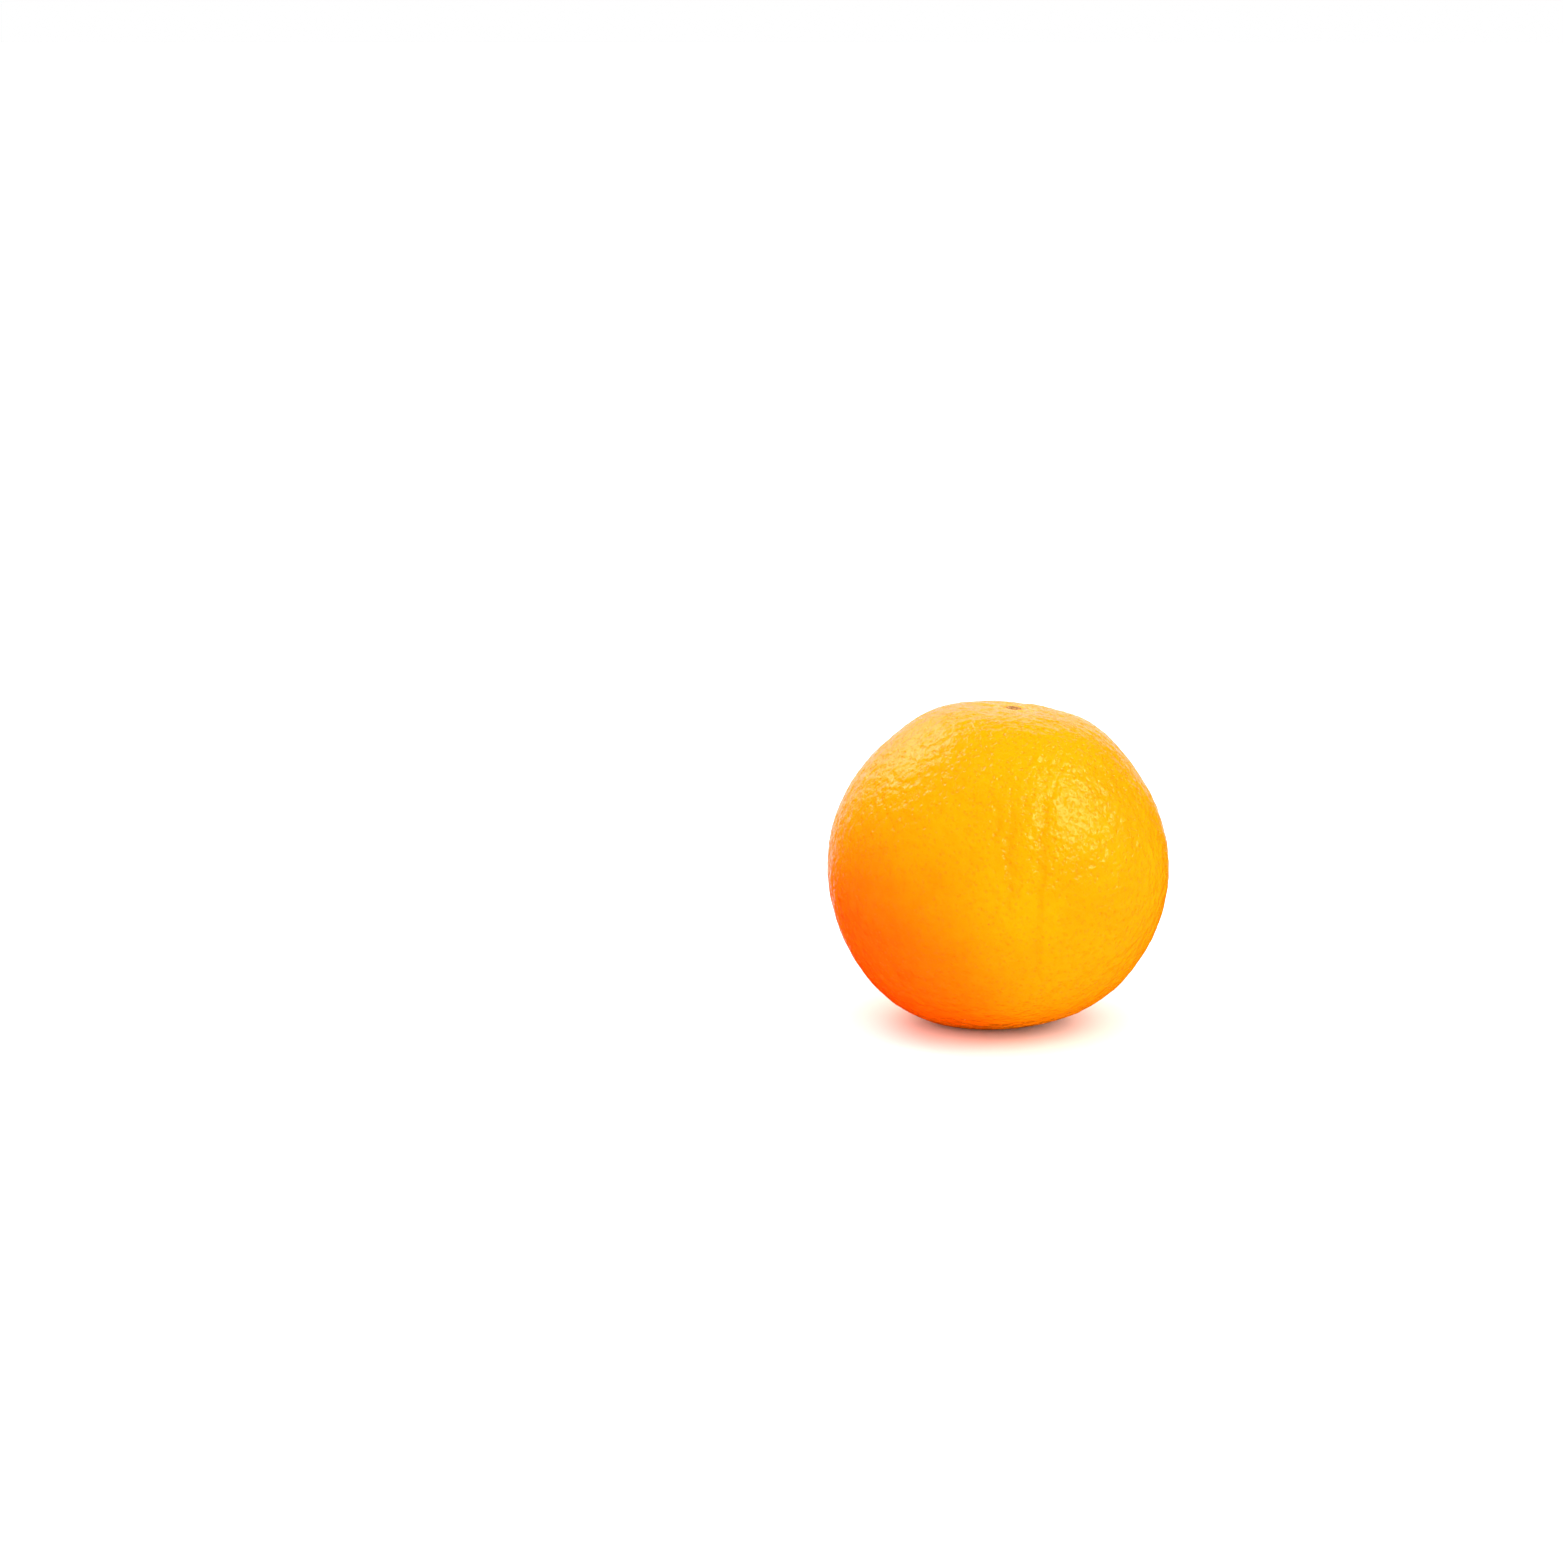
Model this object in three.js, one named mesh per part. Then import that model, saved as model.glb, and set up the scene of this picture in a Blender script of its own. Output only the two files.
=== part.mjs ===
// An orange that stands on its navel end, with its stem end up.
// Sizes are in millimetres and angles in degrees. Z is up, X points right and the front faces -Y.
// The origin lies on the surface that the fruit stands on, under the middle of the fruit.

import * as THREE from 'three';

// Driving sizes of the fruit, measured from its middle
const SIDE_RADIUS = 41.4;
const DEPTH_RADIUS = 41.1;
const POLE_RADIUS = 39.4;
// How much of the base lies flat against the surface that the fruit stands on
const FOOT_FLATTENING = 0.75;

// The stem end leans a little to the right and to the back
const LEAN_RIGHT = 5;
const LEAN_BACK = 2;

// Rounded shoulders that run all the way round the stem end and the navel end
const STEM_SHOULDER = { angle: 28, spread: 13, lift: 1.1 };
const NAVEL_SHOULDER = { angle: 46, spread: 18, lift: 0.75 };

// Uneven growth, with each place given as seen from the front: across to the right, then up
const FRONT_VIEW_RISE = 13;
const SWELLINGS = [
  { name: 'belly at lower left', clock: -118, spread: 20, lift: 1.5 },
  { name: 'slack right side', clock: 20, spread: 22, lift: -0.4 },
];
const LOBES = { count: 5, turn: 24, lift: 0.12 };

// The shallow dimple that the stalk grew from, its furrows, and the seat that the stem end sits in
const DIMPLE = { radius: 5.5, depth: 1.1 };
const FURROWS = { count: 7, turn: 15, start: 3.5, peak: 6.5, end: 17, depth: 0.3 };
const SEAT = { radius: 2.5, depth: 0.8, wall: 0.5 };
const SEAT_COLLAR = { radius: 3.4, spread: 0.7, lift: 0.2 };

// Long soft creases down the front, in millimetres across and up as seen from the front
const CREASES = [
  { top: [2.9, 13], bottom: [2.2, -12], bow: 0.6, sway: 0, halfWidth: 1.4, depth: 0.36 },
  { top: [10.7, 16.5], bottom: [8.9, -20], bow: 0, sway: 0.8, halfWidth: 1.5, depth: 0.36 },
  { top: [9.2, -18], bottom: [9.7, -26], bow: 0, sway: 0, halfWidth: 1.8, depth: 0.3 },
  { top: [-0.4, 13.5], bottom: [-0.6, 6], bow: 0, sway: 0, halfWidth: 1.0, depth: 0.16 },
];

// The navel: a round pit in the base with the tip of a small second fruit in it
const NAVEL = { radius: 4.3, wall: 1.8, depth: 2.8 };
const NAVEL_LIP_FOLDS = { count: 5, turn: 40, depth: 0.2 };
const SECOND_FRUIT = { offset: 0.4, radius: 2.3, rise: 1.8 };
const STYLE_SCAR = { radius: 0.8, depth: 0.4 };

// The dry stem end
const STEM_END = { radius: 1.9, height: 0.95, clearance: 0.3, waver: 0.07 };

// How finely the skin is divided, from the stem end to the navel, and round the fruit
const ZONES = [
  { to: 15, steps: 13 },
  { to: 160, steps: 34 },
  { to: 180, steps: 18 },
];
const MERIDIANS = 84;
const FRONT_CROWDING = 0.5;
const STEM_END_SIDES = 24;

const PEEL_COLOUR = 0xfca508;
const STEM_END_COLOUR = 0x9a6a3c;

const { degToRad, radToDeg, smoothstep } = THREE.MathUtils;
const UP = new THREE.Vector3(0, 0, 1);
const RIGHT = new THREE.Vector3(1, 0, 0);

// The line through the fruit from its middle to its stem end
const STEM_AXIS = new THREE.Vector3(
  Math.tan(degToRad(LEAN_RIGHT)),
  Math.tan(degToRad(LEAN_BACK)),
  1,
).normalize();
const ONTO_STEM_AXIS = new THREE.Quaternion().setFromUnitVectors(UP, STEM_AXIS);

// The upward direction and the direction away, for an eye in front that looks slightly down
const VIEW_UP = UP.clone().applyAxisAngle(RIGHT, -degToRad(FRONT_VIEW_RISE));
const VIEW_AWAY = VIEW_UP.clone().cross(RIGHT);

// A smooth hump: 1 in its middle, and fading over its spread
function hump(distance, spread) {
  return Math.exp(-((distance / spread) ** 2));
}

// A smooth window: 0 outside start and end, and 1 at the peak
function window(value, start, peak, end) {
  return smoothstep(value, start, peak) * (1 - smoothstep(value, peak, end));
}

// The plain rounded body, slightly flatter than a ball
function bodyRadius(direction) {
  const squashed = new THREE.Vector3(SIDE_RADIUS, DEPTH_RADIUS, POLE_RADIUS);
  return 1 / direction.clone().divide(squashed).length();
}

function shoulders(fromStem, fromNavel) {
  const atStem = hump(fromStem - STEM_SHOULDER.angle, STEM_SHOULDER.spread) * STEM_SHOULDER.lift;
  const atNavel = hump(fromNavel - NAVEL_SHOULDER.angle, NAVEL_SHOULDER.spread) * NAVEL_SHOULDER.lift;
  return atStem + atNavel;
}

function swellings(direction) {
  let lift = 0;
  for (const swelling of SWELLINGS) {
    const clock = degToRad(swelling.clock);
    const middle = RIGHT.clone().multiplyScalar(Math.cos(clock)).addScaledVector(VIEW_UP, Math.sin(clock));
    lift += swelling.lift * hump(radToDeg(direction.angleTo(middle)), swelling.spread);
  }
  return lift;
}

// Faint segments that show through the peel, strongest at the widest part
function lobes(fromStem, round) {
  const wave = Math.cos(LOBES.count * degToRad(round - LOBES.turn));
  return LOBES.lift * wave * Math.sin(degToRad(fromStem)) ** 2;
}

// The dimple, the seat in it and a slight collar of peel. Reach is the distance from the stem axis
function stemDimple(reach) {
  const hollow = DIMPLE.depth * hump(reach, DIMPLE.radius);
  const seat = SEAT.depth * (1 - smoothstep(reach, SEAT.radius - SEAT.wall, SEAT.radius));
  const collar = SEAT_COLLAR.lift * hump(reach - SEAT_COLLAR.radius, SEAT_COLLAR.spread);
  return collar - hollow - seat;
}

function stemFurrows(reach, round) {
  const wave = 0.5 + 0.5 * Math.cos(FURROWS.count * degToRad(round - FURROWS.turn));
  return -FURROWS.depth * wave ** 2 * window(reach, FURROWS.start, FURROWS.peak, FURROWS.end);
}

// One long crease, which bows and sways between its top and its bottom
function creaseDepth(crease, across, up) {
  const [topAcross, topUp] = crease.top;
  const [bottomAcross, bottomUp] = crease.bottom;
  const along = (topUp - up) / (topUp - bottomUp);
  if (along <= 0 || along >= 1) {
    return 0;
  }
  const straight = THREE.MathUtils.lerp(topAcross, bottomAcross, along);
  const bow = crease.bow * Math.sin(Math.PI * along);
  const sway = crease.sway * Math.sin(2 * Math.PI * along);
  const fade = window(along, 0, 0.5, 1) ** 0.5;
  return crease.depth * fade * hump(across - straight - bow - sway, crease.halfWidth);
}

function frontCreases(direction) {
  if (direction.dot(VIEW_AWAY) > 0) {
    return 0;
  }
  const across = direction.dot(RIGHT) * SIDE_RADIUS;
  const up = direction.dot(VIEW_UP) * SIDE_RADIUS;
  return -CREASES.reduce((depth, crease) => depth + creaseDepth(crease, across, up), 0);
}

// The navel pit, whose lip is folded, with the small second fruit rising from its floor
function navelPit(reach, round) {
  const fold = Math.cos(NAVEL_LIP_FOLDS.count * degToRad(round - NAVEL_LIP_FOLDS.turn));
  const lip = NAVEL.radius + NAVEL_LIP_FOLDS.depth * fold;
  return -NAVEL.depth * (1 - smoothstep(reach, lip - NAVEL.wall, lip));
}

function secondFruit(reach, round) {
  const across = reach * Math.cos(degToRad(round)) - SECOND_FRUIT.offset;
  const along = reach * Math.sin(degToRad(round));
  const fromTip = Math.hypot(across, along);
  if (fromTip >= SECOND_FRUIT.radius) {
    return 0;
  }
  const dome = SECOND_FRUIT.rise * (1 - (fromTip / SECOND_FRUIT.radius) ** 2);
  return dome - STYLE_SCAR.depth * hump(fromTip, STYLE_SCAR.radius);
}

// The distance of the skin from the fruit's middle. Round is the turn about the stem axis
function skinRadius(direction, fromStem, round) {
  const fromNavel = 180 - fromStem;
  const stemReach = degToRad(fromStem) * POLE_RADIUS;
  const navelReach = degToRad(fromNavel) * POLE_RADIUS;
  return bodyRadius(direction)
    + shoulders(fromStem, fromNavel)
    + swellings(direction)
    + lobes(fromStem, round)
    + stemDimple(stemReach)
    + stemFurrows(stemReach, round)
    + frontCreases(direction)
    + navelPit(navelReach, round)
    + secondFruit(navelReach, round);
}

// A point of the skin about the fruit's middle. Nothing reaches lower than the flat foot
function skinPoint(fromStem, round) {
  const lean = degToRad(fromStem);
  const turn = degToRad(round);
  const direction = new THREE.Vector3(
    Math.sin(lean) * Math.sin(turn),
    -Math.sin(lean) * Math.cos(turn),
    Math.cos(lean),
  ).applyQuaternion(ONTO_STEM_AXIS);
  const point = direction.clone().multiplyScalar(skinRadius(direction, fromStem, round));
  point.z = Math.max(point.z, FOOT_FLATTENING - POLE_RADIUS);
  return point;
}

// The angles from the stem end at which the skin has a ring of points, both poles included
function ringAngles() {
  const angles = [0];
  for (const zone of ZONES) {
    const from = angles.at(-1);
    for (let step = 1; step <= zone.steps; step += 1) {
      angles.push(from + ((zone.to - from) * step) / zone.steps);
    }
  }
  return angles;
}

// The turns at which each ring has its points, closest together at the front
function meridianTurns() {
  const turns = [];
  for (let count = 0; count < MERIDIANS; count += 1) {
    const even = (360 * count) / MERIDIANS;
    turns.push(even - radToDeg(FRONT_CROWDING * Math.sin(degToRad(even))));
  }
  return turns;
}

// The faces between two neighbouring rings, each given by the number of its first point
function bandFaces(upper, lower) {
  const faces = [];
  for (let side = 0; side < MERIDIANS; side += 1) {
    const next = (side + 1) % MERIDIANS;
    faces.push(upper + side, lower + side, lower + next);
    faces.push(upper + side, lower + next, upper + next);
  }
  return faces;
}

function fruitGeometry() {
  const inner = ringAngles().slice(1, -1);
  const turns = meridianTurns();
  const points = [skinPoint(0, 0)];
  for (const angle of inner) {
    points.push(...turns.map((turn) => skinPoint(angle, turn)));
  }
  points.push(skinPoint(180, 0));

  const faces = [];
  const lastRing = 1 + (inner.length - 1) * MERIDIANS;
  const navelTip = points.length - 1;
  for (let side = 0; side < MERIDIANS; side += 1) {
    const next = (side + 1) % MERIDIANS;
    faces.push(0, 1 + side, 1 + next);
    faces.push(lastRing + side, navelTip, lastRing + next);
  }
  for (let ring = 1; ring < lastRing; ring += MERIDIANS) {
    faces.push(...bandFaces(ring, ring + MERIDIANS));
  }
  const geometry = new THREE.BufferGeometry().setFromPoints(points);
  geometry.setIndex(faces);
  geometry.computeVertexNormals();
  return geometry;
}

// A worn disc with a wavering edge and a small hollow in its top, with its base at the origin
function stemEndGeometry() {
  const { radius, height } = STEM_END;
  const outline = [
    [0, 0],
    [0.8 * radius, 0],
    [0.96 * radius, 0.25 * height],
    [radius, 0.6 * height],
    [0.86 * radius, 0.95 * height],
    [0.5 * radius, height],
    [0.25 * radius, 0.8 * height],
    [0, 0.75 * height],
  ].map(([across, up]) => new THREE.Vector2(across, up));
  const geometry = new THREE.LatheGeometry(outline, STEM_END_SIDES);
  geometry.rotateX(Math.PI / 2);
  const places = geometry.attributes.position;
  for (let index = 0; index < places.count; index += 1) {
    const round = Math.atan2(places.getY(index), places.getX(index));
    const waver = 1 + STEM_END.waver * (Math.sin(3 * round) + 0.6 * Math.cos(5 * round));
    places.setXY(index, places.getX(index) * waver, places.getY(index) * waver);
  }
  geometry.computeVertexNormals();
  return geometry;
}

function makeFruit() {
  const peel = new THREE.MeshStandardMaterial({ color: PEEL_COLOUR, roughness: 0.42, metalness: 0 });
  const fruit = new THREE.Mesh(fruitGeometry(), peel);
  fruit.name = 'fruit';
  return fruit;
}

function makeStemEnd() {
  const wood = new THREE.MeshStandardMaterial({ color: STEM_END_COLOUR, roughness: 0.85, metalness: 0 });
  const stemEnd = new THREE.Mesh(stemEndGeometry(), wood);
  const seatFloor = skinPoint(0, 0).length();
  stemEnd.name = 'stem_end';
  stemEnd.position.copy(STEM_AXIS).multiplyScalar(seatFloor + STEM_END.clearance);
  stemEnd.quaternion.copy(ONTO_STEM_AXIS);
  return stemEnd;
}

// Both pieces are made about the fruit's middle and then stood on the surface, centred over the origin
const fruit = makeFruit();
const orange = new THREE.Group();
orange.name = 'orange';
orange.add(fruit, makeStemEnd());
fruit.geometry.computeBoundingBox();
const { min, max } = fruit.geometry.boundingBox;
orange.position.set(-(min.x + max.x) / 2, -(min.y + max.y) / 2, -min.z);

export default orange;
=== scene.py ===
# %% [markdown]
# # A whole orange
# A solid model of the orange is already made: a plain skin of about 11,000 flat faces, and the small dry
# stem end in its dimple. This lesson gives it what the eye looks for in a real one: the pits of the oil
# glands, the slight waviness of the rind, the wax and the uneven colour. Everything is in metres, with
# +Z up, +X to the right and -Y towards the viewer, and nothing is moved from where the solid model has it.

# %% Load the solid model
import math

import bpy
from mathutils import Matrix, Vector


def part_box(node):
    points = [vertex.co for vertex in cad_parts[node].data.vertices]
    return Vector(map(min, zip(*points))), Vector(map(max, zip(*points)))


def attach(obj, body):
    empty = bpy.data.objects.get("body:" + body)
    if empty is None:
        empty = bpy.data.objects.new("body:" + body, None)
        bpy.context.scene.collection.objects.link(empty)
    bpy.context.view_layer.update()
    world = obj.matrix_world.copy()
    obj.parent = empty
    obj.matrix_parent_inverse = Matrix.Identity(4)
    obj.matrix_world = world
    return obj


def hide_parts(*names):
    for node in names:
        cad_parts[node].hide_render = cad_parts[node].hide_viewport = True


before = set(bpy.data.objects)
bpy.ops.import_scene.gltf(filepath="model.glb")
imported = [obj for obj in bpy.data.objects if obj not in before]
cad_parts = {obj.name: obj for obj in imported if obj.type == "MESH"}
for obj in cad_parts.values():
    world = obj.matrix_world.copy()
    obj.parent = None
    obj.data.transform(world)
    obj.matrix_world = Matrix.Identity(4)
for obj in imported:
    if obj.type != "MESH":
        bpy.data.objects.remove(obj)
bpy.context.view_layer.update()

MM = 0.001
fruit_low, fruit_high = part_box("fruit")
fruit_size = fruit_high - fruit_low
print("fruit, mm:", [round(side / MM, 1) for side in fruit_size])

# %% [markdown]
# ## Where the fruit's ends are
# The stem end leans a few degrees to the right and to the back. The line from the middle of the fruit
# through the stem end comes out at the navel below. Both ends get colours of their own later, so their
# places are worked out here from the box of the stem end, and not typed in.

# %% Find the axis, the middle and the navel
LEAN_RIGHT = math.radians(5)
LEAN_BACK = math.radians(2)
MIDDLE_HEIGHT = 38.65 * MM
NAVEL_DEPTH = 37.5 * MM

stem_axis = Vector((math.tan(LEAN_RIGHT), math.tan(LEAN_BACK), 1)).normalized()
stem_low, stem_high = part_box("stem_end")
stem_place = (stem_low + stem_high) / 2
middle = stem_place - stem_axis * ((stem_place.z - MIDDLE_HEIGHT) / stem_axis.z)
navel_place = middle - stem_axis * NAVEL_DEPTH
print("middle, mm:", [round(value / MM, 2) for value in middle])
print("navel, mm:", [round(value / MM, 2) for value in navel_place])

# %% [markdown]
# ## The camera
# A long lens from about 0.9 m away flattens a small fruit gently, as in the picture. The fruit isn't in
# the middle of the frame, and the camera isn't shifted: it stands straight in front of the fruit, a little
# above it, and is turned until the fruit falls on its own place in the frame.

# %% Aim the camera
FRAME_PIXELS = 1563
FRUIT_PIXEL = (997.8, 863.5)
MM_PER_PIXEL = 0.2424
VIEW_RISE = math.radians(13)
LENS = 85.0
SENSOR = 36.0

focal_pixels = LENS / SENSOR * FRAME_PIXELS
distance = focal_pixels * MM_PER_PIXEL * MM
aim = Vector((0, 0, fruit_size.z / 2))
right_of_axis = FRUIT_PIXEL[0] - FRAME_PIXELS / 2
below_axis = FRUIT_PIXEL[1] - FRAME_PIXELS / 2

ray = Vector((right_of_axis, -below_axis, -focal_pixels)).normalized()
upright_part = math.hypot(ray.y, ray.z)
pitch = math.asin(math.sin(VIEW_RISE) / upright_part) - math.atan2(-ray.y, -ray.z)
forward_part = ray.y * math.sin(pitch) - ray.z * math.cos(pitch)
yaw = math.atan2(ray.x, forward_part)

camera_place = aim + distance * Vector((0, -math.cos(VIEW_RISE), math.sin(VIEW_RISE)))
bpy.ops.object.camera_add(location=camera_place, rotation=(math.pi / 2 - pitch, 0, yaw))
camera = bpy.context.object
camera.name = "camera"
camera.data.lens = LENS
camera.data.sensor_width = SENSOR
bpy.context.scene.camera = camera
print("camera distance, m:", round(distance, 3), "pitch:", round(math.degrees(pitch), 2))

# %% [markdown]
# ## The studio
# The floor is plain and pale, and bright enough to run into the white background without an edge. Most
# light comes from a very wide, soft source overhead and from the white surroundings. A softbox at the
# right and one behind at the left make the two broad reflections on the wax. Each is two discs: a lamp
# that lights the peel, and a gleam that shows only as a reflection, so that the two can be set apart. The
# gleam hangs a little nearer, because in one plane the lamp would hide it. A white wall at the back gives
# the pale rim at the top, and a weak warm lamp keeps the shaded side full of colour.

# %% Make the floor
FLOOR_SIZE = 60.0
FLOOR_COLOUR = (0.9, 0.89, 0.88, 1)
FLOOR_ROUGHNESS = 0.9
FLOOR_SHINE = 0.1

bpy.ops.mesh.primitive_plane_add(size=FLOOR_SIZE)
floor = bpy.context.object
floor.name = "floor"
floor_paint = bpy.data.materials.new("pale_floor")
floor_paint.use_nodes = True
floor_shader = floor_paint.node_tree.nodes["Principled BSDF"]
floor_shader.inputs["Base Color"].default_value = FLOOR_COLOUR
floor_shader.inputs["Roughness"].default_value = FLOOR_ROUGHNESS
floor_shader.inputs["Specular IOR Level"].default_value = FLOOR_SHINE
floor.data.materials.append(floor_paint)
floor.visible_glossy = False
print("floor, m:", FLOOR_SIZE)


# %% A helper that hangs a light
VIEW_UP = Vector((0, math.sin(VIEW_RISE), math.cos(VIEW_RISE)))
TO_VIEWER = Vector((0, -math.cos(VIEW_RISE), math.sin(VIEW_RISE)))


def seen_from_front(right, up, nearer):
    """A direction given as the camera sees it."""
    return (Vector((right, 0, 0)) + VIEW_UP * up + TO_VIEWER * nearer).normalized()


def hang_light(name, kind, direction, away, power, colour=(1, 1, 1)):
    """Adds a light that shines on the middle of the fruit."""
    turn = direction.to_track_quat("Z", "Y").to_euler()
    bpy.ops.object.light_add(type=kind, location=middle + direction * away, rotation=turn)
    light = bpy.context.object
    light.name = name
    light.data.energy = power
    light.data.color = colour
    return light


# %% Hang the lights that only light the peel
OVERHEAD_AWAY = 1.0
OVERHEAD_POWER = 1.9
OVERHEAD_SPREAD = math.radians(120)
FILL_AWAY = 0.35
FILL_POWER = 0.5
FILL_COLOUR = (1.0, 0.32, 0.03)
FILL_SIZE = 0.3

overhead_side = seen_from_front(0.45, 0.72, 0.53)
overhead = hang_light("overhead", "SUN", overhead_side, OVERHEAD_AWAY, OVERHEAD_POWER)
overhead.data.angle = OVERHEAD_SPREAD
overhead.visible_glossy = False

fill_side = seen_from_front(-0.6, 0.1, 0.8)
warm_fill = hang_light("warm_fill", "AREA", fill_side, FILL_AWAY, FILL_POWER, FILL_COLOUR)
warm_fill.data.size = FILL_SIZE
warm_fill.visible_glossy = False

# %% Hang the white wall and the softboxes
SOFTBOX_AWAY = 0.6
SOFTBOX_SIZE = 0.35
GLEAM_GAP = 0.02
WALL_POWER = 1.3
WALL_SIZE = 0.75
SOFTBOXES = (
    {"name": "softbox_right", "side": (0.72, 0.55, 0.43), "lamp": 0.9, "gleam": 3.1},
    {"name": "softbox_back", "side": (-0.55, 0.79, -0.28), "lamp": 1.2, "gleam": 1.1},
)


def make_disc(light, size):
    light.data.shape = "DISK"
    light.data.size = size


white_wall = hang_light("white_wall", "AREA", seen_from_front(-0.12, 0.42, -0.9), SOFTBOX_AWAY, WALL_POWER)
make_disc(white_wall, WALL_SIZE)
white_wall.visible_diffuse = False

for softbox in SOFTBOXES:
    side = seen_from_front(*softbox["side"])
    lamp = hang_light(softbox["name"], "AREA", side, SOFTBOX_AWAY, softbox["lamp"])
    make_disc(lamp, SOFTBOX_SIZE)
    lamp.visible_glossy = False
    gleam = hang_light(
        softbox["name"] + "_gleam", "AREA", side, SOFTBOX_AWAY - GLEAM_GAP, softbox["gleam"]
    )
    make_disc(gleam, SOFTBOX_SIZE)
    gleam.visible_diffuse = False
    print(softbox["name"], "m:", [round(value, 2) for value in lamp.location])

# %% [markdown]
# The surroundings are white all round. They light the peel, but they are kept out of the reflections,
# which would otherwise turn the whole fruit milky. The camera sees them a little dimmer than the peel does.

# %% Light the surroundings
AMBIENT = 1.35
BACKDROP = 1.0
WHITE = (1, 1, 1, 1)

world = bpy.data.worlds.new("studio")
bpy.context.scene.world = world
world.use_nodes = True
world_tree = world.node_tree
world_tree.nodes.clear()
light_path = world_tree.nodes.new("ShaderNodeLightPath")
choose = world_tree.nodes.new("ShaderNodeMixShader")
world_tree.links.new(light_path.outputs["Is Camera Ray"], choose.inputs["Fac"])
for slot, brightness in ((1, AMBIENT), (2, BACKDROP)):
    shade = world_tree.nodes.new("ShaderNodeBackground")
    shade.inputs["Color"].default_value = WHITE
    shade.inputs["Strength"].default_value = brightness
    world_tree.links.new(shade.outputs[0], choose.inputs[slot])
world_output = world_tree.nodes.new("ShaderNodeOutputWorld")
world_tree.links.new(choose.outputs[0], world_output.inputs["Surface"])
world.cycles_visibility.glossy = False
bpy.context.scene.view_settings.view_transform = "Standard"
print("surroundings:", AMBIENT, "for the peel and", BACKDROP, "for the camera")

# %% [markdown]
# ## A smooth guide
# Most of the solid model's skin is in flat faces 3 to 5 mm long, which a waxy surface would show. A copy
# of it is merged, so that its loose triangles become one skin, and is then rounded off with a Subdivision
# Surface. The copy is only a guide for the fine skin to settle on, and is thrown away afterwards.


# %% Merge and round the guide
def work_on(piece):
    """Makes one object the only selected and active one."""
    bpy.ops.object.select_all(action="DESELECT")
    piece.select_set(True)
    bpy.context.view_layer.objects.active = piece


def apply_modifier(piece, name):
    work_on(piece)
    bpy.ops.object.modifier_apply(modifier=name)


GUIDE_LEVELS = 2
MERGE_DISTANCE = 0.002 * MM
guide = bpy.data.objects.new("guide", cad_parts["fruit"].data.copy())
bpy.context.scene.collection.objects.link(guide)
work_on(guide)
bpy.ops.object.mode_set(mode="EDIT")
bpy.ops.mesh.select_all(action="SELECT")
bpy.ops.mesh.remove_doubles(threshold=MERGE_DISTANCE)
bpy.ops.object.mode_set(mode="OBJECT")
rounding = guide.modifiers.new("rounding", "SUBSURF")
rounding.levels = rounding.render_levels = GUIDE_LEVELS
apply_modifier(guide, "rounding")
print("guide faces:", len(guide.data.polygons))

# %% [markdown]
# ## The rind
# A ball of even triangles suits a fruit better than rings and spokes, which crowd at the poles: an
# icosahedron is cut up finely, cast to a ball and drawn in until it lies on the guide. Its triangles are
# half a millimetre wide, which is fine enough for the larger gland pits to be real hollows.

# %% Make the ball and draw it on to the guide
BALL_RADIUS = 43.5 * MM
BALL_CUTS = 98

bpy.ops.object.select_all(action="DESELECT")
bpy.ops.mesh.primitive_ico_sphere_add(subdivisions=1, radius=BALL_RADIUS, location=middle)
peel = bpy.context.object
peel.name = "peel"
bpy.ops.object.mode_set(mode="EDIT")
bpy.ops.mesh.select_all(action="SELECT")
bpy.ops.mesh.subdivide(number_cuts=BALL_CUTS)
bpy.ops.object.mode_set(mode="OBJECT")

roundness = peel.modifiers.new("roundness", "CAST")
roundness.factor = 1.0
roundness.use_radius_as_size = False
roundness.size = BALL_RADIUS
apply_modifier(peel, "roundness")

settle = peel.modifiers.new("settle", "SHRINKWRAP")
settle.target = guide
settle.wrap_method = "PROJECT"
settle.use_negative_direction = True
settle.use_positive_direction = False
apply_modifier(peel, "settle")
bpy.ops.object.transform_apply(location=True, rotation=True, scale=True)
bpy.ops.object.shade_smooth()
bpy.data.objects.remove(guide)
print("peel triangles:", len(peel.data.polygons))

# %% [markdown]
# ## Oil glands
# The rind is full of round oil glands, and the wax sinks in over each one. A Voronoi texture scatters
# points, and its distance output is a cone round each point: cut off and smoothed, that makes round pits.
# The scatter fills space, so the skin cuts some cells near their point and some far from it, and the pits
# come out in mixed sizes, as they do on the fruit. The same few nodes are built twice: once among the
# modifiers, where they move the skin, and once in the material, where they colour and sharpen each pit.


# %% Helpers that add and join nodes
def add_node(tree, kind, settings=None, **inputs):
    """Adds a node, sets its own settings, and fills or links the inputs that are named."""
    node = tree.nodes.new(kind)
    for name, value in (settings or {}).items():
        setattr(node, name, value)
    for name, value in inputs.items():
        fill(tree, node.inputs[name.replace("_", " ")], value)
    return node


def fill(tree, socket, value):
    """Links a socket to another node's output, or sets its value."""
    if isinstance(value, bpy.types.NodeSocket):
        tree.links.new(value, socket)
    else:
        socket.default_value = value


def calculate(tree, operation, first, second=0.0):
    node = add_node(tree, "ShaderNodeMath", {"operation": operation})
    fill(tree, node.inputs[0], first)
    fill(tree, node.inputs[1], second)
    return node.outputs[0]


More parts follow.
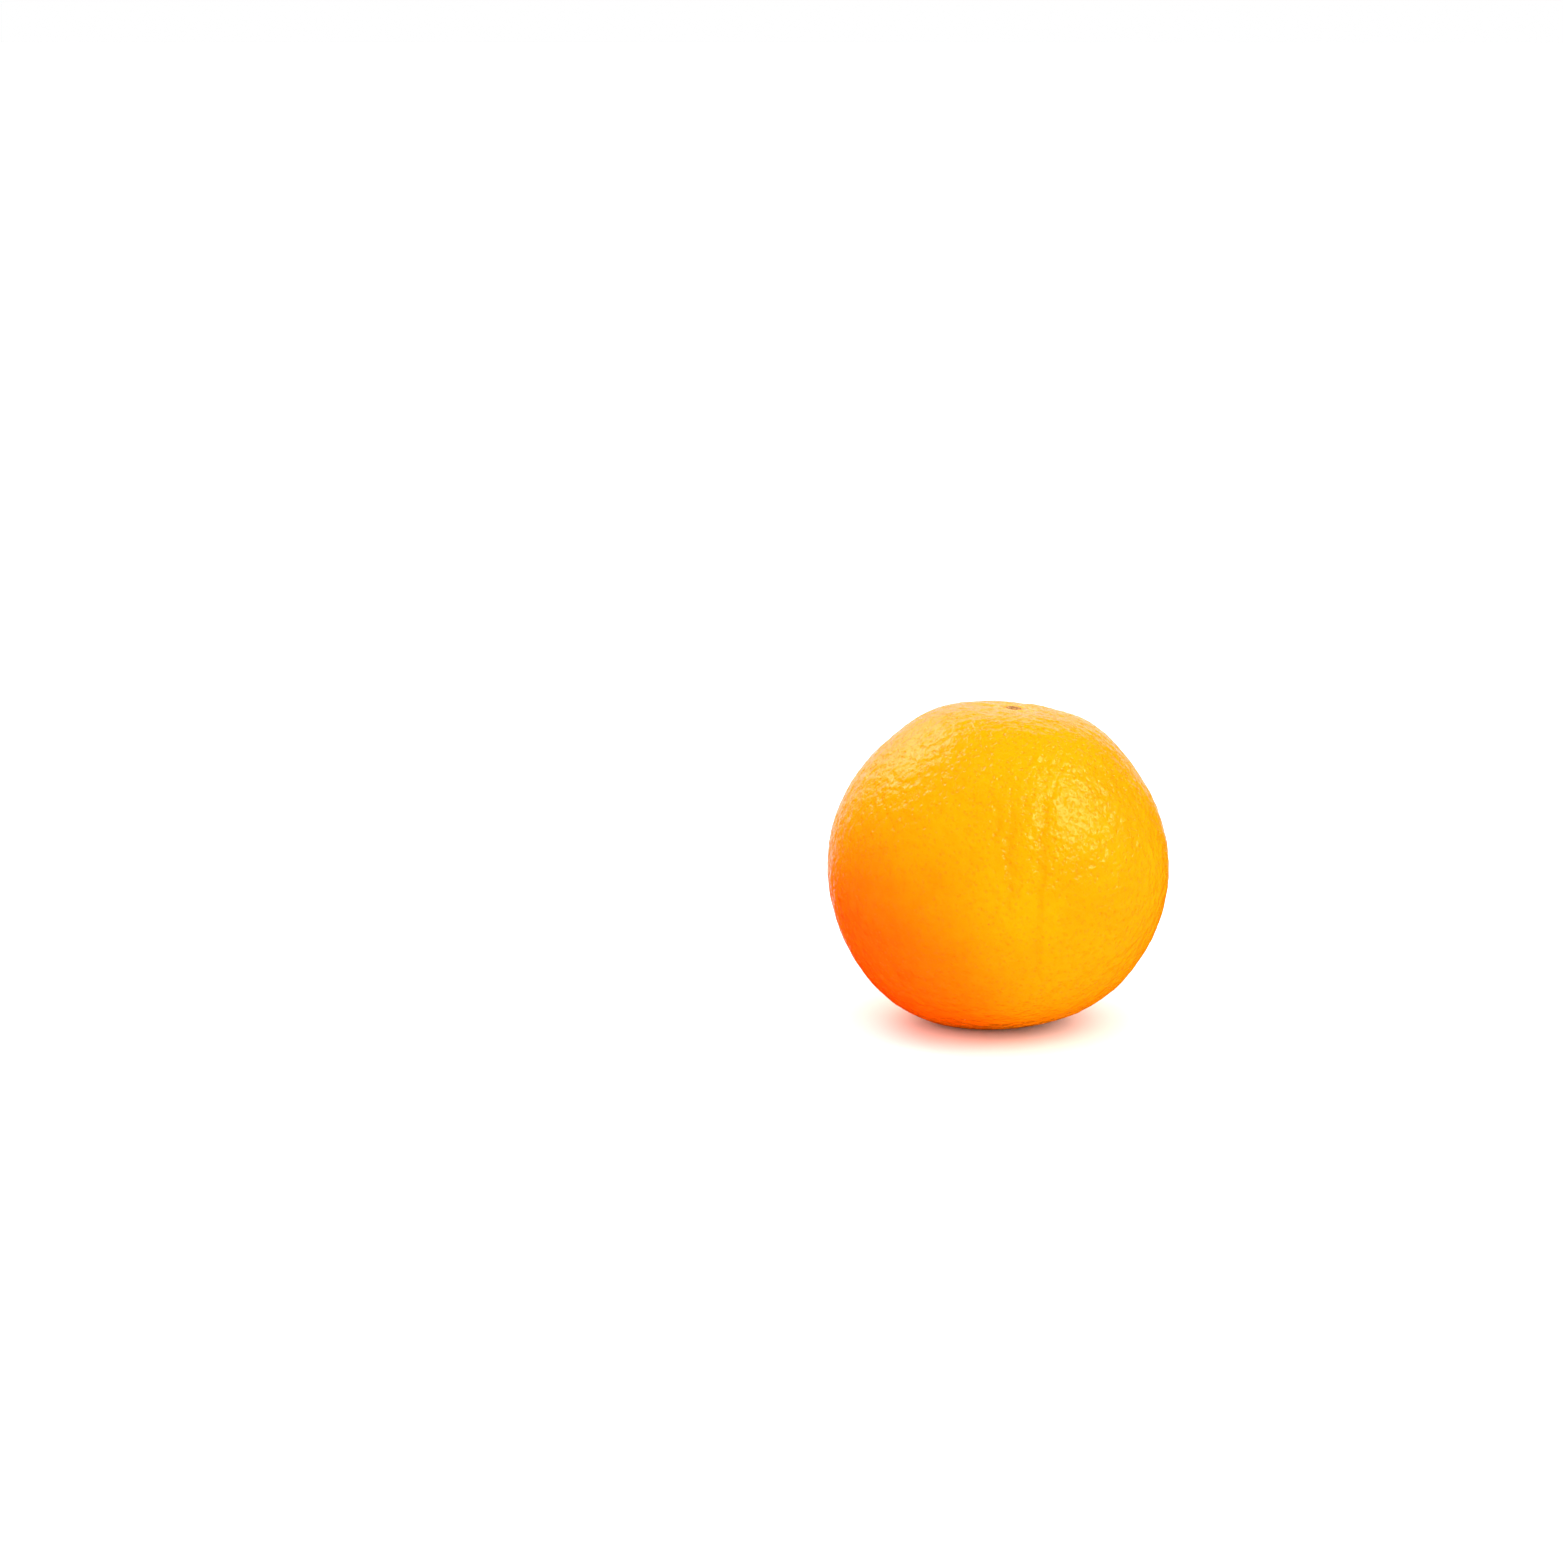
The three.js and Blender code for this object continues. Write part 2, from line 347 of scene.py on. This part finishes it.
def ramp(tree, value, start, end, low=0.0, high=1.0):
    """Carries a value from start..end over to low..high, with soft ends."""
    node = add_node(tree, "ShaderNodeMapRange", {"interpolation_type": "SMOOTHSTEP"}, Value=value)
    node.inputs["From Min"].default_value = start
    node.inputs["From Max"].default_value = end
    node.inputs["To Min"].default_value = low
    node.inputs["To Max"].default_value = high
    return node.outputs["Result"]


def scaled(tree, place, amount):
    node = add_node(tree, "ShaderNodeVectorMath", {"operation": "SCALE"}, Scale=amount)
    fill(tree, node.inputs[0], place)
    return node.outputs["Vector"]


def cloudy_tone(tree, place_mm, size, contrast, detail=2.0, roughness=0.5):
    """A tone from 0 to 1 in patches that are about as long as the size, in millimetres."""
    scale = calculate(tree, "DIVIDE", 1.0, size)
    clouds = add_node(
        tree, "ShaderNodeTexNoise", Vector=place_mm, Scale=scale, Detail=detail, Roughness=roughness
    )
    centred = calculate(tree, "SUBTRACT", clouds.outputs[0], 0.5)
    tone = add_node(tree, "ShaderNodeMath", {"operation": "ADD", "use_clamp": True})
    fill(tree, tone.inputs[0], calculate(tree, "MULTIPLY", centred, contrast))
    fill(tree, tone.inputs[1], 0.5)
    return tone.outputs[0]


# %% The nodes for the gland pits
LARGE_GLANDS = {"spacing": 1.25, "inner": 0.10, "outer": 0.46}
SMALL_GLANDS = {"spacing": 0.75, "inner": 0.08, "outer": 0.42}
SMALL_GLAND_SHARE = 0.5
GLAND_RANDOMNESS = 0.9
WAVER_SCALE = 0.9
WAVER_REACH = 0.5


def gland_pits(tree, place_mm):
    """Pits as a mask: 1 at the bottom of a pit and 0 between pits."""
    waver = add_node(tree, "ShaderNodeTexNoise", Vector=place_mm, Scale=WAVER_SCALE, Detail=1.0)
    shifted = add_node(tree, "ShaderNodeVectorMath", {"operation": "MULTIPLY_ADD"})
    fill(tree, shifted.inputs[0], waver.outputs["Color"])
    fill(tree, shifted.inputs[1], (WAVER_REACH, WAVER_REACH, WAVER_REACH))
    fill(tree, shifted.inputs[2], place_mm)
    depths = []
    for glands in (LARGE_GLANDS, SMALL_GLANDS):
        cells = add_node(
            tree, "ShaderNodeTexVoronoi", {"feature": "F1"},
            Vector=shifted.outputs["Vector"], Scale=1 / glands["spacing"], Randomness=GLAND_RANDOMNESS,
        )
        depths.append(ramp(tree, cells.outputs["Distance"], glands["inner"], glands["outer"], 1.0, 0.0))
    small = calculate(tree, "MULTIPLY", depths[1], SMALL_GLAND_SHARE)
    return calculate(tree, "MAXIMUM", depths[0], small)


# %% [markdown]
# ## Creases
# Two long creases and two short ones run down the front of the fruit, where the segments inside show
# through the rind. The solid model has them as soft hollows. Each has a narrow, slightly wandering line
# along its bottom, which is what catches the light. Places are given in millimetres across and up from
# the middle of the fruit, as the camera sees them.

# %% The nodes for the crease lines
CREASES = (
    {"top": (2.9, 14.0), "bottom": (2.6, -14.0), "width": 1.5, "strength": 1.0},
    {"top": (10.8, 17.5), "bottom": (9.3, -22.0), "width": 1.6, "strength": 0.9},
    {"top": (9.3, -16.5), "bottom": (9.7, -27.0), "width": 2.0, "strength": 0.7},
    {"top": (-0.4, 14.5), "bottom": (-0.6, 4.5), "width": 1.1, "strength": 0.6},
)
CREASE_WANDER = 3.5
WANDER_SCALE = 0.22
FULL_DEPTH_PART = 0.6
FRONT_ONLY = (4.0, 14.0)


def along_direction(tree, place_mm, direction):
    """How far a place lies from the fruit's middle along one direction, in millimetres."""
    offset = add_node(tree, "ShaderNodeVectorMath", {"operation": "SUBTRACT"})
    fill(tree, offset.inputs[0], place_mm)
    fill(tree, offset.inputs[1], tuple(middle / MM))
    node = add_node(tree, "ShaderNodeVectorMath", {"operation": "DOT_PRODUCT"})
    fill(tree, node.inputs[0], offset.outputs["Vector"])
    fill(tree, node.inputs[1], tuple(direction))
    return node.outputs["Value"]


def crease_lines(tree, place_mm):
    """Creases as a mask: 1 along the bottom of a crease and 0 away from it."""
    wander = add_node(tree, "ShaderNodeTexNoise", Vector=place_mm, Scale=WANDER_SCALE, Detail=2.0).outputs[0]
    wander = calculate(tree, "MULTIPLY", calculate(tree, "SUBTRACT", wander, 0.5), CREASE_WANDER)
    across = calculate(tree, "ADD", along_direction(tree, place_mm, (1, 0, 0)), wander)
    up = along_direction(tree, place_mm, VIEW_UP)
    total = 0.0
    for crease in CREASES:
        (top_across, top_up), (bottom_across, bottom_up) = crease["top"], crease["bottom"]
        slant = (top_across - bottom_across) / (top_up - bottom_up)
        centre = calculate(tree, "ADD", calculate(tree, "MULTIPLY", up, slant), top_across - slant * top_up)
        aside = calculate(tree, "ABSOLUTE", calculate(tree, "SUBTRACT", across, centre))
        line = ramp(tree, aside, 0.0, crease["width"], crease["strength"], 0.0)
        half_length = (top_up - bottom_up) / 2
        from_centre = calculate(tree, "ABSOLUTE", calculate(tree, "SUBTRACT", up, (top_up + bottom_up) / 2))
        length_fade = ramp(tree, from_centre, half_length * FULL_DEPTH_PART, half_length, 1.0, 0.0)
        total = calculate(tree, "ADD", total, calculate(tree, "MULTIPLY", line, length_fade))
    front = ramp(tree, along_direction(tree, place_mm, TO_VIEWER), *FRONT_ONLY)
    return calculate(tree, "MULTIPLY", total, front)


# %% [markdown]
# The modifier moves each point of the skin along its normal: in by the depth of the pit and of the crease
# there, and in or out by the pebbles of the rind, 2 to 3 mm wide, and by a slow waviness. Pebbles and
# waviness fade out near the base, so that the flat spot that the fruit rests on stays flat.

# %% Press the pits into the skin
PIT_DEPTH = 0.10 * MM
CREASE_DEPTH = 0.16 * MM
WAVE_LENGTH = 6.5
WAVE_HEIGHT = 0.34 * MM
WAVE_DETAIL = 1.5
PEBBLE_SIZE = 2.4
PEBBLE_CONTRAST = 2.0
PEBBLE_HEIGHT = 0.22 * MM
FOOT_FADE = (0.4 * MM, 5 * MM)

relief = bpy.data.node_groups.new("rind relief", "GeometryNodeTree")
relief.interface.new_socket("Geometry", in_out="INPUT", socket_type="NodeSocketGeometry")
relief.interface.new_socket("Geometry", in_out="OUTPUT", socket_type="NodeSocketGeometry")
relief_in = relief.nodes.new("NodeGroupInput")
relief_out = relief.nodes.new("NodeGroupOutput")

point = relief.nodes.new("GeometryNodeInputPosition").outputs[0]
normal = relief.nodes.new("GeometryNodeInputNormal").outputs[0]
point_mm = scaled(relief, point, 1 / MM)
pit_push = calculate(relief, "MULTIPLY", gland_pits(relief, point_mm), -PIT_DEPTH)
crease_push = calculate(relief, "MULTIPLY", crease_lines(relief, point_mm), -CREASE_DEPTH)

wave = add_node(relief, "ShaderNodeTexNoise", Vector=point_mm, Scale=1 / WAVE_LENGTH, Detail=WAVE_DETAIL)
wave_push = calculate(relief, "MULTIPLY", calculate(relief, "SUBTRACT", wave.outputs[0], 0.5), WAVE_HEIGHT)
pebble = calculate(relief, "SUBTRACT", cloudy_tone(relief, point_mm, PEBBLE_SIZE, PEBBLE_CONTRAST), 0.5)
swell_push = calculate(relief, "ADD", wave_push, calculate(relief, "MULTIPLY", pebble, PEBBLE_HEIGHT))
height = add_node(relief, "ShaderNodeSeparateXYZ", Vector=point).outputs["Z"]
off_foot = ramp(relief, height, *FOOT_FADE)
push = calculate(relief, "ADD", pit_push, calculate(relief, "MULTIPLY", swell_push, off_foot))
push = calculate(relief, "ADD", push, crease_push)

moved = relief.nodes.new("GeometryNodeSetPosition")
relief.links.new(relief_in.outputs[0], moved.inputs["Geometry"])
relief.links.new(scaled(relief, normal, push), moved.inputs["Offset"])
relief.links.new(moved.outputs[0], relief_out.inputs[0])

press = peel.modifiers.new("press", "NODES")
press.node_group = relief
apply_modifier(peel, "press")
print("peel lowest, mm:", round(min(vertex.co.z for vertex in peel.data.vertices) / MM, 3))

# %% [markdown]
# ## The dry stem end
# Where the stalk broke away it leaves a small brown disc of woody tissue with a worn rim, a ring and a
# sunken middle. It is modelled by hand from a cylinder: its top is inset and pressed down or raised in
# steps, its points are shaken a little, and a displacement gives it a fibrous, uneven surface.

# %% Model the stem end
STEM_RADIUS = 1.8 * MM
STEM_HEIGHT = 0.85 * MM
STEM_SIDES = 36
STEM_WEAR = 0.07 * MM
FACING_UP = 0.9
RIM_STEPS = (
    (0.22 * MM, 0.08 * MM),
    (0.30 * MM, -0.02 * MM),
    (0.22 * MM, -0.28 * MM),
    (0.24 * MM, 0.0),
    (0.24 * MM, 0.2 * MM),
    (0.16 * MM, 0.02 * MM),
    (0.18 * MM, -0.3 * MM),
)

stem_turn = stem_axis.to_track_quat("Z", "Y").to_euler()
bpy.ops.object.select_all(action="DESELECT")
bpy.ops.mesh.primitive_cylinder_add(
    vertices=STEM_SIDES, radius=STEM_RADIUS, depth=STEM_HEIGHT, location=stem_place, rotation=stem_turn
)
stem = bpy.context.object
stem.name = "dry_stem_end"
bpy.ops.object.mode_set(mode="EDIT")
bpy.ops.mesh.select_all(action="DESELECT")
bpy.ops.object.mode_set(mode="OBJECT")
for face in stem.data.polygons:
    face.select = face.normal.z > FACING_UP
bpy.ops.object.mode_set(mode="EDIT")
bpy.ops.mesh.select_mode(type="FACE")
for inward, upward in RIM_STEPS:
    bpy.ops.mesh.inset(thickness=inward, depth=upward)
bpy.ops.mesh.select_all(action="SELECT")
bpy.ops.transform.vertex_random(offset=STEM_WEAR, seed=4)
bpy.ops.object.mode_set(mode="OBJECT")

# %% Roughen and finish the stem end
STEM_LEVELS = 3
FIBRE_SIZE = 0.55 * MM
FIBRE_HEIGHT = 0.3 * MM

softening = stem.modifiers.new("softening", "SUBSURF")
softening.levels = softening.render_levels = STEM_LEVELS
apply_modifier(stem, "softening")
fibre_texture = bpy.data.textures.new("fibre", "CLOUDS")
fibre_texture.noise_scale = FIBRE_SIZE
fibre_texture.noise_depth = 3
fibres = stem.modifiers.new("fibres", "DISPLACE")
fibres.texture = fibre_texture
fibres.texture_coords = "LOCAL"
fibres.strength = FIBRE_HEIGHT
fibres.mid_level = 0.5
apply_modifier(stem, "fibres")
bpy.ops.object.transform_apply(location=True, rotation=True, scale=True)
bpy.ops.object.shade_smooth()
print("stem end faces:", len(stem.data.polygons))

# %% [markdown]
# ## Effects that both finishes share
# Peel and dry stem are both uneven in tone and have a fine grain, each at its own scale. Each effect is a
# small node group with its sizes as inputs, so that a finish only has to say how large and how strong.
# The pits and the creases get a group each as well, from the same functions that moved the skin.


# %% Build the shared groups
def new_group(name, inputs, outputs):
    """An empty shader node group with its sockets and its two end nodes."""
    group = bpy.data.node_groups.new(name, "ShaderNodeTree")
    for label, kind in inputs:
        group.interface.new_socket(label, in_out="INPUT", socket_type=kind)
    for label in outputs:
        group.interface.new_socket(label, in_out="OUTPUT", socket_type="NodeSocketFloat")
    return group, group.nodes.new("NodeGroupInput"), group.nodes.new("NodeGroupOutput")


def use_group(tree, group, place, **values):
    node = add_node(tree, "ShaderNodeGroup", {"node_tree": group}, Place=place, **values)
    return node.outputs[0]


def noise_group(name, detail, roughness):
    """The cloudy tone as a group, with its place, size and contrast as inputs."""
    group, ends_in, ends_out = new_group(
        name,
        (("Place", "NodeSocketVector"), ("Size", "NodeSocketFloat"), ("Contrast", "NodeSocketFloat")),
        ("Tone",),
    )
    place, size, contrast = (ends_in.outputs[label] for label in ("Place", "Size", "Contrast"))
    tone = cloudy_tone(group, place, size, contrast, detail, roughness)
    group.links.new(tone, ends_out.inputs["Tone"])
    return group


mottle = noise_group("mottle", 2.0, 0.5)
grain = noise_group("grain", 4.0, 0.65)

gland_group, glands_in, glands_out = new_group("gland pits", (("Place", "NodeSocketVector"),), ("Pit",))
gland_group.links.new(gland_pits(gland_group, glands_in.outputs["Place"]), glands_out.inputs["Pit"])

crease_group, creases_in, creases_out = new_group("creases", (("Place", "NodeSocketVector"),), ("Crease",))
crease_group.links.new(crease_lines(crease_group, creases_in.outputs["Place"]), creases_out.inputs["Crease"])

# %% [markdown]
# ## Waxy peel
# Ripe peel isn't one orange. This fruit is yellow-orange over most of its skin and deepens towards a spot
# at its lower left. That deepening is partly the peel's own tone and partly painted shade and painted warm
# bounce light. The peel is blotched over a few centimetres and again over a few millimetres. Each pit is
# deeper in colour than the skin between, and the bottom of each crease is darkened with the same colour as
# painted shade. Round the stem the skin turns faintly green and then tan, and the tip of the small second
# fruit in the navel is tan too. All of it is mixed from the place on the fruit, so it stays put from every
# side.


# %% Helpers for a finish
def new_finish(name):
    """A material, its node tree, its shader and the place on the piece in millimetres."""
    material = bpy.data.materials.new(name)
    material.use_nodes = True
    tree = material.node_tree
    place = add_node(tree, "ShaderNodeTexCoord").outputs["Object"]
    return material, tree, tree.nodes["Principled BSDF"], scaled(tree, place, 1 / MM)


def blend_colours(tree, amount, first, second):
    node = add_node(tree, "ShaderNodeMix", {"data_type": "RGBA"})
    fill(tree, node.inputs[0], amount)
    fill(tree, node.inputs[6], first)
    fill(tree, node.inputs[7], second)
    return node.outputs[2]


def distance_from(tree, place_mm, spot):
    """How far a place is from a spot, in millimetres."""
    node = add_node(tree, "ShaderNodeVectorMath", {"operation": "DISTANCE"})
    fill(tree, node.inputs[0], place_mm)
    fill(tree, node.inputs[1], tuple(value / MM for value in spot))
    return node.outputs["Value"]


# %% Colour the peel
PEEL_BRIGHT = (0.96, 0.272, 0.0005, 1)
PEEL_DEEP_AND_SHADED = (0.96, 0.082, 0.0002, 1)
# The gland pits' own deeper colour, also used as painted shade along the crease bottoms.
PIT_AND_CREASE_SHADE_COLOUR = (0.90, 0.13, 0.0003, 1)
# The side and the spot out along it: partly a deeper peel, partly painted shade and painted warm bounce
# light.
DEEP_AND_SHADED_SIDE = Vector((-0.72, -0.53, -0.46)).normalized()
SHADED_SPOT_OUT = 42 * MM
SHADED_SPOT_REACH = (8.0, 48.0)
SHADED_SPOT_TONES = (-0.13, 0.8)
BLOTCHES = {"Size": 22.0, "Contrast": 2.2}
BLOTCH_SHARE = 0.2
FLECKS = {"Size": 3.2, "Contrast": 1.8}
FLECK_SHARE = 0.1
PIT_SHARE = 0.25
CREASE_PAINTED_SHADE = 0.15

waxy_peel, peel_tree, peel_shader, peel_mm = new_finish("waxy_peel")
pit = use_group(peel_tree, gland_group, peel_mm)
crease = use_group(peel_tree, crease_group, peel_mm)

blotches = use_group(peel_tree, mottle, peel_mm, **BLOTCHES)
flecks = use_group(peel_tree, mottle, peel_mm, **FLECKS)
# Deeper towards the spot at the lower left: partly the peel's own tone, partly painted shade and painted
# warm bounce light.
from_shaded_spot = distance_from(peel_tree, peel_mm, middle + DEEP_AND_SHADED_SIDE * SHADED_SPOT_OUT)
tone = ramp(peel_tree, from_shaded_spot, *SHADED_SPOT_REACH, *SHADED_SPOT_TONES)
tone = calculate(peel_tree, "ADD", tone, calculate(peel_tree, "MULTIPLY", blotches, BLOTCH_SHARE))
tone = calculate(peel_tree, "ADD", tone, calculate(peel_tree, "MULTIPLY", flecks, FLECK_SHARE))
colour = blend_colours(peel_tree, tone, PEEL_DEEP_AND_SHADED, PEEL_BRIGHT)
# Pits take the oil glands' deeper colour; crease bottoms take the same colour as painted shade.
for mask, share in ((pit, PIT_SHARE), (crease, CREASE_PAINTED_SHADE)):
    colour = blend_colours(peel_tree, calculate(peel_tree, "MULTIPLY", mask, share), colour, PIT_AND_CREASE_SHADE_COLOUR)
print("peel nodes so far:", len(peel_tree.nodes))

# %% Colour the skin round the stem, the navel and the specks
STEM_GREEN = (0.58, 0.34, 0.012, 1)
SCAR_TAN = (0.42, 0.21, 0.05, 1)
SPECK_BROWN = (0.36, 0.11, 0.01, 1)
GREEN_REACH = (2.5, 8.0)
GREEN_AMOUNT = 0.7
TAN_REACH = (2.0, 3.2)
NAVEL_REACH = (0.7, 1.6)
TAN_AMOUNT = 0.9
RAGGED_EDGE = 2.5
SPECKS_PER_MM = 0.16
SPECK_EDGE = (0.025, 0.06)
SPECK_AMOUNT = 0.6

from_stem = distance_from(peel_tree, peel_mm, stem_place)
uneven = calculate(peel_tree, "MULTIPLY", calculate(peel_tree, "SUBTRACT", flecks, 0.5), RAGGED_EDGE)
stem_reach = calculate(peel_tree, "ADD", from_stem, uneven)
from_navel = distance_from(peel_tree, peel_mm, navel_place)
spots = add_node(peel_tree, "ShaderNodeTexVoronoi", {"feature": "F1"}, Vector=peel_mm, Scale=SPECKS_PER_MM)
for away, edge, amount, tint in (
    (stem_reach, GREEN_REACH, GREEN_AMOUNT, STEM_GREEN),
    (stem_reach, TAN_REACH, TAN_AMOUNT, SCAR_TAN),
    (from_navel, NAVEL_REACH, TAN_AMOUNT, SCAR_TAN),
    (spots.outputs["Distance"], SPECK_EDGE, SPECK_AMOUNT, SPECK_BROWN),
):
    colour = blend_colours(peel_tree, ramp(peel_tree, away, *edge, amount, 0.0), colour, tint)
peel_tree.links.new(colour, peel_shader.inputs["Base Color"])

# %% [markdown]
# The wax is a thin, smooth layer, and it is made as the gloss of the peel itself, tinted so that its
# reflections stay yellow. The peel lets some light in and spreads it, more of the red than of the rest,
# which keeps the shaded side warm. Dull pits and a fine grain break the gloss up.

# %% Give the peel its wax
GLOSS_TINT = (1.0, 0.5, 0.18, 1)
SMOOTHEST = 0.09
FINE_GRAIN = {"Size": 0.45, "Contrast": 1.6}
GRAIN_DULLS = 0.08
PIT_DULLS = 0.1

peel_shader.inputs["IOR"].default_value = 1.45
peel_shader.inputs["Specular IOR Level"].default_value = 0.5
peel_shader.inputs["Specular Tint"].default_value = GLOSS_TINT
peel_shader.inputs["Subsurface Weight"].default_value = 0.15
peel_shader.inputs["Subsurface Radius"].default_value = (1.0, 0.3, 0.06)
peel_shader.inputs["Subsurface Scale"].default_value = 2.5 * MM

fine = use_group(peel_tree, grain, peel_mm, **FINE_GRAIN)
satin = calculate(peel_tree, "MULTIPLY", fine, GRAIN_DULLS)
dull_pits = calculate(peel_tree, "MULTIPLY", pit, PIT_DULLS)
rough = calculate(peel_tree, "ADD", SMOOTHEST, calculate(peel_tree, "ADD", satin, dull_pits))
peel_tree.links.new(rough, peel_shader.inputs["Roughness"])

# %% [markdown]
# The bump repeats the pits, the pebbles and the creases, so that they stay sharp between the points of the
# skin, and adds a grain finer than the skin's triangles. The pebbles are higher in some areas than in
# others, which scatters the flecks of light unevenly.

# %% Give the peel its fine relief
PIT_BUMP = -0.1 * MM
CREASE_BUMP = -0.07 * MM
GRAIN_BUMP = 0.03 * MM
PEBBLE_BUMPS = (0.22 * MM, 0.35 * MM)
COARSE_AREAS = {"Size": 8.0, "Contrast": 2.5}
COARSE_EDGE = (0.35, 0.85)

pebbles = use_group(peel_tree, mottle, peel_mm, Size=PEBBLE_SIZE, Contrast=PEBBLE_CONTRAST)
coarse = use_group(peel_tree, mottle, peel_mm, **COARSE_AREAS)
pebble_bump = ramp(peel_tree, coarse, *COARSE_EDGE, *PEBBLE_BUMPS)
raised = calculate(peel_tree, "MULTIPLY", pit, PIT_BUMP)
for mask, height in ((pebbles, pebble_bump), (crease, CREASE_BUMP), (fine, GRAIN_BUMP)):
    raised = calculate(peel_tree, "ADD", raised, calculate(peel_tree, "MULTIPLY", mask, height))
bump = add_node(peel_tree, "ShaderNodeBump", Height=raised, Strength=1.0, Distance=1.0)
peel_tree.links.new(bump.outputs["Normal"], peel_shader.inputs["Normal"])
peel.data.materials.append(waxy_peel)
print("peel nodes:", len(peel_tree.nodes))

# %% [markdown]
# ## Dry stem tissue
# The stem end is dead wood: dull and brown, paler where it has worn, and darker in its cracks. It is darker
# still in the groove inside its rim and in its sunken heart, which is painted shade in those hollows. It
# uses the same two groups as the peel, at smaller sizes.

# %% Finish the stem end
WOOD_PALE = (0.60, 0.31, 0.09, 1)
WOOD_DARK = (0.12, 0.04, 0.01, 1)
WOOD_PATCHES = {"Size": 0.7, "Contrast": 3.0}
WOOD_THREADS = {"Size": 0.18, "Contrast": 2.0}
WOOD_TONE_SHARE = 0.6
HEART_EDGE = (0.2, 0.5)
HEART_PAINTED_SHADE = 0.7
GROOVE_RADIUS = 0.95
GROOVE_HALF_WIDTH = 0.35
GROOVE_PAINTED_SHADE = 0.45
WOOD_ROUGHNESS = (0.95, 0.7)
WOOD_SHINE = 0.15
WOOD_BUMP = 0.1 * MM

dry_wood, wood_tree, wood_shader, wood_mm = new_finish("dry_wood")
patches = use_group(wood_tree, mottle, wood_mm, **WOOD_PATCHES)
threads = use_group(wood_tree, grain, wood_mm, **WOOD_THREADS)
wood_tone = calculate(wood_tree, "ADD", patches, threads)
wood_tone = calculate(wood_tree, "MULTIPLY", wood_tone, WOOD_TONE_SHARE)
# Darker in the sunken heart and in the groove inside the rim: painted shade in those hollows.
from_heart = distance_from(wood_tree, wood_mm, stem_place + stem_axis * (STEM_HEIGHT / 2))
heart_shade = ramp(wood_tree, from_heart, *HEART_EDGE, HEART_PAINTED_SHADE, 0.0)
off_groove = calculate(wood_tree, "ABSOLUTE", calculate(wood_tree, "SUBTRACT", from_heart, GROOVE_RADIUS))
groove_shade = ramp(wood_tree, off_groove, 0.0, GROOVE_HALF_WIDTH, GROOVE_PAINTED_SHADE, 0.0)
wood_tone = calculate(wood_tree, "SUBTRACT", wood_tone, calculate(wood_tree, "ADD", heart_shade, groove_shade))
wood_colour = blend_colours(wood_tree, wood_tone, WOOD_DARK, WOOD_PALE)
wood_tree.links.new(wood_colour, wood_shader.inputs["Base Color"])
wood_tree.links.new(ramp(wood_tree, wood_tone, 0.0, 1.0, *WOOD_ROUGHNESS), wood_shader.inputs["Roughness"])
wood_relief = calculate(wood_tree, "MULTIPLY", wood_tone, WOOD_BUMP)
wood_bump = add_node(wood_tree, "ShaderNodeBump", Height=wood_relief, Strength=1.0, Distance=1.0)
wood_tree.links.new(wood_bump.outputs["Normal"], wood_shader.inputs["Normal"])
wood_shader.inputs["Specular IOR Level"].default_value = WOOD_SHINE
stem.data.materials.append(dry_wood)
print("wood nodes:", len(wood_tree.nodes))

# %% [markdown]
# ## Join the pieces to the model
# Each fine piece takes the place of its solid and rides with the one body that there is.

# %% Put each piece in place of its solid
for piece, node, slot in ((peel, "fruit", "peel"), (stem, "stem_end", "dry_stem")):
    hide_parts(node)
    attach(piece, "root")
